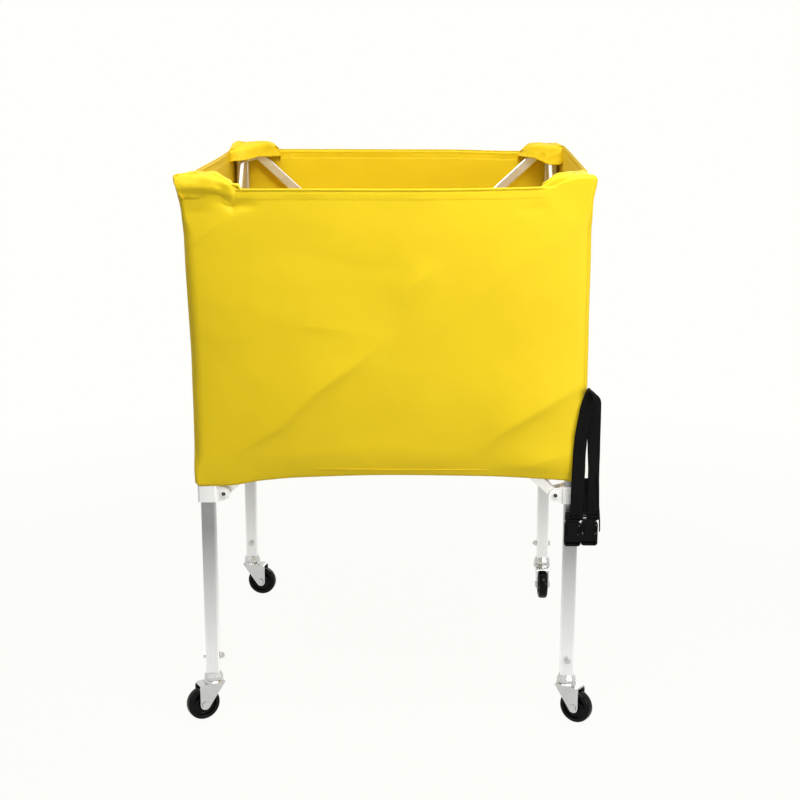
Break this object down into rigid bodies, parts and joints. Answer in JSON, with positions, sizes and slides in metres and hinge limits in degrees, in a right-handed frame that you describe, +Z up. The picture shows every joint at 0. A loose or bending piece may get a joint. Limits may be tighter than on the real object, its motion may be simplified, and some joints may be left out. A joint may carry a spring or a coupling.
{
  "type": "ball cart",
  "caption": "Folding scissor-frame ball cart: an open-topped fabric bag hangs from the tops of square legs on swivel casters.",
  "frame": {"origin": "on the floor, under the middle of the whole cart's outline", "axes": "+Z up, +X to the right and +Y to the rear as seen from the front, where the straps hang at the front right corner"},
  "size_m": [0.6713, 0.6324, 0.8928],
  "materials": {
    "leg_aluminium": "anodised square tube, satin",
    "bar_aluminium": "mill-finish flat tube, satin",
    "zinc_steel": "bright zinc plate",
    "white_plastic": "moulded, satin",
    "wheel_rubber": "smooth and glossy",
    "yellow_cloth": "coated plain-weave polyester",
    "black_webbing": "ribbed woven webbing",
    "black_plastic": "moulded, half gloss"
  },
  "bodies": {
    "root": {"leg_front_left": "leg_aluminium", "upper_bracket_front_left": "white_plastic", "hood_front_left": "yellow_cloth", "caster_stem_front_left": "zinc_steel", "clamp_bolt_front_left": "zinc_steel", "bag_front": "yellow_cloth", "bag_left": "yellow_cloth"},
    "leg_front_right": {"leg_front_right": "leg_aluminium", "upper_bracket_front_right": "white_plastic", "hood_front_right": "yellow_cloth", "caster_stem_front_right": "zinc_steel", "clamp_bolt_front_right": "zinc_steel", "bag_right": "yellow_cloth", "strap_front": "black_webbing", "strap_side": "black_webbing", "buckle_front": "black_plastic", "buckle_side": "black_plastic"},
    "leg_rear_right": {"leg_rear_right": "leg_aluminium", "upper_bracket_rear_right": "white_plastic", "hood_rear_right": "yellow_cloth", "caster_stem_rear_right": "zinc_steel", "clamp_bolt_rear_right": "zinc_steel"},
    "leg_rear_left": {"leg_rear_left": "leg_aluminium", "upper_bracket_rear_left": "white_plastic", "hood_rear_left": "yellow_cloth", "caster_stem_rear_left": "zinc_steel", "clamp_bolt_rear_left": "zinc_steel", "bag_rear": "yellow_cloth"},
    "bar_front_a": {"bar_front_a": "bar_aluminium", "cross_pin_front": "zinc_steel"},
    "bar_front_b": {"bar_front_b": "bar_aluminium"},
    "bar_left_a": {"bar_left_a": "bar_aluminium", "cross_pin_left": "zinc_steel"},
    "bar_left_b": {"bar_left_b": "bar_aluminium"},
    "bar_right_a": {"bar_right_a": "bar_aluminium", "cross_pin_right": "zinc_steel"},
    "bar_right_b": {"bar_right_b": "bar_aluminium"},
    "bar_rear_a": {"bar_rear_a": "bar_aluminium", "cross_pin_rear": "zinc_steel"},
    "bar_rear_b": {"bar_rear_b": "bar_aluminium"},
    "slider_front_left": {"slider_front_left": "white_plastic"},
    "slider_front_right": {"slider_front_right": "white_plastic"},
    "slider_rear_right": {"slider_rear_right": "white_plastic"},
    "slider_rear_left": {"slider_rear_left": "white_plastic"},
    "floor_front": {"bag_floor_front": "yellow_cloth"},
    "floor_left": {"bag_floor_left": "yellow_cloth"},
    "floor_right": {"bag_floor_right": "yellow_cloth"},
    "floor_rear": {"bag_floor_rear": "yellow_cloth"},
    "caster_front_left": {"caster_fork_front_left": "zinc_steel", "caster_axle_front_left": "zinc_steel"},
    "wheel_front_left": {"caster_wheel_front_left": "wheel_rubber"},
    "caster_front_right": {"caster_fork_front_right": "zinc_steel", "caster_axle_front_right": "zinc_steel"},
    "wheel_front_right": {"caster_wheel_front_right": "wheel_rubber"},
    "caster_rear_right": {"caster_fork_rear_right": "zinc_steel", "caster_axle_rear_right": "zinc_steel"},
    "wheel_rear_right": {"caster_wheel_rear_right": "wheel_rubber"},
    "caster_rear_left": {"caster_fork_rear_left": "zinc_steel", "caster_axle_rear_left": "zinc_steel"},
    "wheel_rear_left": {"caster_wheel_rear_left": "wheel_rubber"}
  },
  "joints": [
    {"name": "fold", "type": "hinge", "parent": "root", "child": "bar_front_a", "pos_m": [-0.26447, -0.2822, 0.877], "axis": [0, 1, 0], "range_deg": [0, 36.5], "deforming": ["bag_front", "bag_rear", "bag_left", "bag_right", "bag_floor_front", "bag_floor_rear", "bag_floor_left", "bag_floor_right"]},
    {"name": "front_cross", "type": "hinge", "parent": "bar_front_a", "child": "bar_front_b", "pos_m": [-0.00047, -0.2822, 0.632], "axis": [0, 1, 0], "range_deg": [-73, 0]},
    {"name": "front_right_top_pin", "type": "hinge", "parent": "bar_front_b", "child": "leg_front_right", "pos_m": [0.26354, -0.2822, 0.877], "axis": [0, 1, 0], "range_deg": [0, 36.5]},
    {"name": "front_left_slider_pin", "type": "hinge", "parent": "bar_front_b", "child": "slider_front_left", "pos_m": [-0.26447, -0.2822, 0.387], "axis": [0, 1, 0], "range_deg": [0, 36.5]},
    {"name": "front_right_slider_pin", "type": "hinge", "parent": "bar_front_a", "child": "slider_front_right", "pos_m": [0.26354, -0.2822, 0.387], "axis": [0, 1, 0], "range_deg": [-36.5, 0]},
    {"name": "front_left_top_pin", "type": "hinge", "parent": "root", "child": "bar_left_a", "pos_m": [-0.29046, -0.2562, 0.877], "axis": [-1, 0, 0], "range_deg": [0, 36.5]},
    {"name": "left_cross", "type": "hinge", "parent": "bar_left_a", "child": "bar_left_b", "pos_m": [-0.29046, 0.0078, 0.632], "axis": [-1, 0, 0], "range_deg": [-73, 0]},
    {"name": "rear_left_top_pin", "type": "hinge", "parent": "bar_left_b", "child": "leg_rear_left", "pos_m": [-0.29046, 0.2718, 0.877], "axis": [-1, 0, 0], "range_deg": [0, 36.5]},
    {"name": "rear_left_slider_pin", "type": "hinge", "parent": "bar_left_a", "child": "slider_rear_left", "pos_m": [-0.29046, 0.2718, 0.387], "axis": [-1, 0, 0], "range_deg": [-36.5, 0]},
    {"name": "right_top_pin", "type": "hinge", "parent": "leg_front_right", "child": "bar_right_a", "pos_m": [0.28953, -0.2562, 0.877], "axis": [-1, 0, 0], "range_deg": [0, 36.5]},
    {"name": "right_cross", "type": "hinge", "parent": "bar_right_a", "child": "bar_right_b", "pos_m": [0.28953, 0.0078, 0.632], "axis": [-1, 0, 0], "range_deg": [-73, 0]},
    {"name": "rear_right_top_pin", "type": "hinge", "parent": "bar_right_b", "child": "leg_rear_right", "pos_m": [0.28953, 0.2718, 0.877], "axis": [-1, 0, 0], "range_deg": [0, 36.5]},
    {"name": "rear_right_slider_pin", "type": "hinge", "parent": "bar_right_a", "child": "slider_rear_right", "pos_m": [0.28953, 0.2718, 0.387], "axis": [-1, 0, 0], "range_deg": [-36.5, 0]},
    {"name": "rear_top_pin", "type": "hinge", "parent": "leg_rear_left", "child": "bar_rear_a", "pos_m": [-0.26447, 0.2978, 0.877], "axis": [0, 1, 0], "range_deg": [0, 36.5]},
    {"name": "rear_cross", "type": "hinge", "parent": "bar_rear_a", "child": "bar_rear_b", "pos_m": [-0.00047, 0.2978, 0.632], "axis": [0, 1, 0], "range_deg": [-73, 0]},
    {"name": "floor_front_hem", "type": "hinge", "parent": "root", "child": "floor_front", "pos_m": [-0.00047, -0.2974, 0.428], "axis": [-1, 0, 0], "range_deg": [0, 69.3]},
    {"name": "floor_left_hem", "type": "hinge", "parent": "root", "child": "floor_left", "pos_m": [-0.30567, 0.0078, 0.428], "axis": [0, 1, 0], "range_deg": [0, 69.3]},
    {"name": "floor_rear_hem", "type": "hinge", "parent": "leg_rear_left", "child": "floor_rear", "pos_m": [-0.00047, 0.313, 0.428], "axis": [1, 0, 0], "range_deg": [0, 69.3]},
    {"name": "floor_right_hem", "type": "hinge", "parent": "leg_front_right", "child": "floor_right", "pos_m": [0.30473, 0.0078, 0.428], "axis": [0, -1, 0], "range_deg": [0, 69.3]},
    {"name": "swivel_front_left", "type": "hinge", "parent": "root", "child": "caster_front_left", "pos_m": [-0.29046, -0.2822, 0.07], "axis": [0, 0, 1], "continuous": true},
    {"name": "roll_front_left", "type": "hinge", "parent": "caster_front_left", "child": "wheel_front_left", "pos_m": [-0.30779, -0.2922, 0.02757], "axis": [0.5, -0.866, 0], "continuous": true},
    {"name": "swivel_front_right", "type": "hinge", "parent": "leg_front_right", "child": "caster_front_right", "pos_m": [0.28953, -0.2822, 0.07], "axis": [0, 0, 1], "continuous": true},
    {"name": "roll_front_right", "type": "hinge", "parent": "caster_front_right", "child": "wheel_front_right", "pos_m": [0.30592, -0.29367, 0.02757], "axis": [0.5736, 0.8192, 0], "continuous": true},
    {"name": "swivel_rear_right", "type": "hinge", "parent": "leg_rear_right", "child": "caster_rear_right", "pos_m": [0.28953, 0.2978, 0.07], "axis": [0, 0, 1], "continuous": true},
    {"name": "roll_rear_right", "type": "hinge", "parent": "caster_rear_right", "child": "wheel_rear_right", "pos_m": [0.28988, 0.2778, 0.02757], "axis": [0.9998, 0.0175, 0], "continuous": true},
    {"name": "swivel_rear_left", "type": "hinge", "parent": "leg_rear_left", "child": "caster_rear_left", "pos_m": [-0.29046, 0.2978, 0.07], "axis": [0, 0, 1], "continuous": true},
    {"name": "roll_rear_left", "type": "hinge", "parent": "caster_rear_left", "child": "wheel_rear_left", "pos_m": [-0.2709, 0.29364, 0.02757], "axis": [0.2079, 0.9781, 0], "continuous": true}
  ],
  "couplings": [
    {"joint": "front_cross", "follows": "fold", "ratio": -2},
    {"joint": "front_right_top_pin", "follows": "fold", "ratio": 1},
    {"joint": "front_left_slider_pin", "follows": "fold", "ratio": 1},
    {"joint": "front_right_slider_pin", "follows": "fold", "ratio": -1},
    {"joint": "front_left_top_pin", "follows": "fold", "ratio": 1},
    {"joint": "left_cross", "follows": "fold", "ratio": -2},
    {"joint": "rear_left_top_pin", "follows": "fold", "ratio": 1},
    {"joint": "rear_left_slider_pin", "follows": "fold", "ratio": -1},
    {"joint": "right_top_pin", "follows": "fold", "ratio": 1},
    {"joint": "right_cross", "follows": "fold", "ratio": -2},
    {"joint": "rear_right_top_pin", "follows": "fold", "ratio": 1},
    {"joint": "rear_right_slider_pin", "follows": "fold", "ratio": -1},
    {"joint": "rear_top_pin", "follows": "fold", "ratio": 1},
    {"joint": "rear_cross", "follows": "fold", "ratio": -2},
    {"joint": "floor_front_hem", "follows": "fold", "ratio": 1.8986},
    {"joint": "floor_left_hem", "follows": "fold", "ratio": 1.8986},
    {"joint": "floor_rear_hem", "follows": "fold", "ratio": 1.8986},
    {"joint": "floor_right_hem", "follows": "fold", "ratio": 1.8986}
  ]
}
